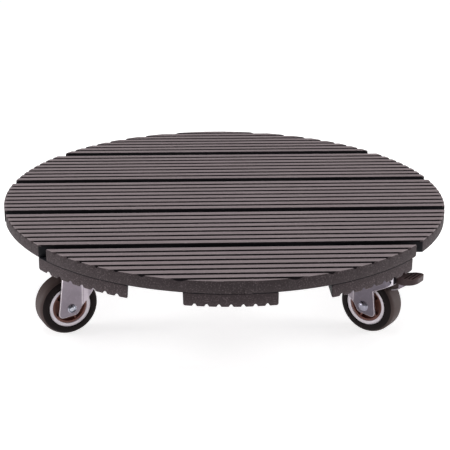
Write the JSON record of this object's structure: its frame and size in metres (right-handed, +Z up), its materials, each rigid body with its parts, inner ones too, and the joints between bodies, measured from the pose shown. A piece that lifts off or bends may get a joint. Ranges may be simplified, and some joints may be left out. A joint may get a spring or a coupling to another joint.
{
  "type": "plant pot caddy",
  "caption": "Round slatted plant pot caddy: grooved boards on cross battens, carried by swivel casters with foot brakes on a diagonal pair.",
  "frame": {"origin": "on the floor, under the middle of the round deck", "axes": "+Z up, +Y to the rear, +X to the right; the deck boards run along X and the battens along Y"},
  "size_m": [0.38, 0.38, 0.091],
  "materials": {
    "composite_board": "matte",
    "zinc_steel": "satin",
    "bright_steel": "satin",
    "bearing_steel": "polished",
    "screw_steel": "satin",
    "tyre_rubber": "matte",
    "band_plastic": "satin",
    "hub_plastic": "satin",
    "bush_plastic": "satin",
    "pedal_plastic": "satin"
  },
  "bodies": {
    "deck": {"deck_board_front": "composite_board", "deck_board_front_inner": "composite_board", "deck_board_centre": "composite_board", "deck_board_rear_inner": "composite_board", "deck_board_rear": "composite_board", "batten_left": "composite_board", "batten_centre": "composite_board", "batten_right": "composite_board", "deck_screws": "screw_steel", "caster_screws": "screw_steel", "front_left_top_plate": "zinc_steel", "front_left_king_pin": "zinc_steel", "front_right_top_plate": "zinc_steel", "front_right_king_pin": "zinc_steel", "rear_left_top_plate": "zinc_steel", "rear_left_king_pin": "zinc_steel", "rear_right_top_plate": "zinc_steel", "rear_right_king_pin": "zinc_steel"},
    "front_left_swivel": {"front_left_fork": "zinc_steel", "front_left_race_balls": "bearing_steel", "front_left_axle_rivet": "bright_steel", "front_left_axle_washer": "bright_steel", "front_left_axle_bush": "bush_plastic"},
    "front_left_wheel": {"front_left_tyre": "tyre_rubber", "front_left_wheel_band": "band_plastic", "front_left_wheel_hub": "hub_plastic"},
    "front_right_swivel": {"front_right_fork": "zinc_steel", "front_right_race_balls": "bearing_steel", "front_right_axle_rivet": "bright_steel", "front_right_axle_washer": "bright_steel", "front_right_axle_bush": "bush_plastic", "front_right_brake_pin": "bright_steel"},
    "front_right_wheel": {"front_right_tyre": "tyre_rubber", "front_right_wheel_band": "band_plastic", "front_right_wheel_hub": "hub_plastic"},
    "front_right_brake": {"front_right_brake_pedal": "pedal_plastic", "front_right_brake_shoe": "zinc_steel"},
    "rear_left_swivel": {"rear_left_fork": "zinc_steel", "rear_left_race_balls": "bearing_steel", "rear_left_axle_rivet": "bright_steel", "rear_left_axle_washer": "bright_steel", "rear_left_axle_bush": "bush_plastic", "rear_left_brake_pin": "bright_steel"},
    "rear_left_wheel": {"rear_left_tyre": "tyre_rubber", "rear_left_wheel_band": "band_plastic", "rear_left_wheel_hub": "hub_plastic"},
    "rear_left_brake": {"rear_left_brake_pedal": "pedal_plastic", "rear_left_brake_shoe": "zinc_steel"},
    "rear_right_swivel": {"rear_right_fork": "zinc_steel", "rear_right_race_balls": "bearing_steel", "rear_right_axle_rivet": "bright_steel", "rear_right_axle_washer": "bright_steel", "rear_right_axle_bush": "bush_plastic"},
    "rear_right_wheel": {"rear_right_tyre": "tyre_rubber", "rear_right_wheel_band": "band_plastic", "rear_right_wheel_hub": "hub_plastic"}
  },
  "joints": [
    {"name": "front_left_swivel_turn", "type": "hinge", "parent": "deck", "child": "front_left_swivel", "pos_m": [-0.113, -0.068, 0.061], "axis": [0, 0, 1], "continuous": true},
    {"name": "front_left_wheel_roll", "type": "hinge", "parent": "front_left_swivel", "child": "front_left_wheel", "pos_m": [-0.13494, -0.07772, 0.025], "axis": [0.4051, -0.9143, 0], "continuous": true},
    {"name": "front_right_swivel_turn", "type": "hinge", "parent": "deck", "child": "front_right_swivel", "pos_m": [0.1004, -0.068, 0.061], "axis": [0, 0, 1], "continuous": true},
    {"name": "front_right_wheel_roll", "type": "hinge", "parent": "front_right_swivel", "child": "front_right_wheel", "pos_m": [0.11889, -0.0833, 0.025], "axis": [0.6374, 0.7705, 0], "continuous": true},
    {"name": "front_right_brake_press", "type": "hinge", "parent": "front_right_swivel", "child": "front_right_brake", "pos_m": [0.13584, -0.09732, 0.0515], "axis": [0.6374, 0.7705, 0], "range_deg": [0, 16]},
    {"name": "rear_left_swivel_turn", "type": "hinge", "parent": "deck", "child": "rear_left_swivel", "pos_m": [-0.113, 0.068, 0.061], "axis": [0, 0, 1], "continuous": true},
    {"name": "rear_left_wheel_roll", "type": "hinge", "parent": "rear_left_swivel", "child": "rear_left_wheel", "pos_m": [-0.13335, 0.08072, 0.025], "axis": [-0.5299, -0.848, 0], "continuous": true},
    {"name": "rear_left_brake_press", "type": "hinge", "parent": "rear_left_swivel", "child": "rear_left_brake", "pos_m": [-0.15201, 0.09238, 0.0515], "axis": [-0.5299, -0.848, 0], "range_deg": [0, 16]},
    {"name": "rear_right_swivel_turn", "type": "hinge", "parent": "deck", "child": "rear_right_swivel", "pos_m": [0.1004, 0.068, 0.061], "axis": [0, 0, 1], "continuous": true},
    {"name": "rear_right_wheel_roll", "type": "hinge", "parent": "rear_right_swivel", "child": "rear_right_wheel", "pos_m": [0.11167, 0.08919, 0.025], "axis": [-0.8829, 0.4695, 0], "continuous": true}
  ]
}
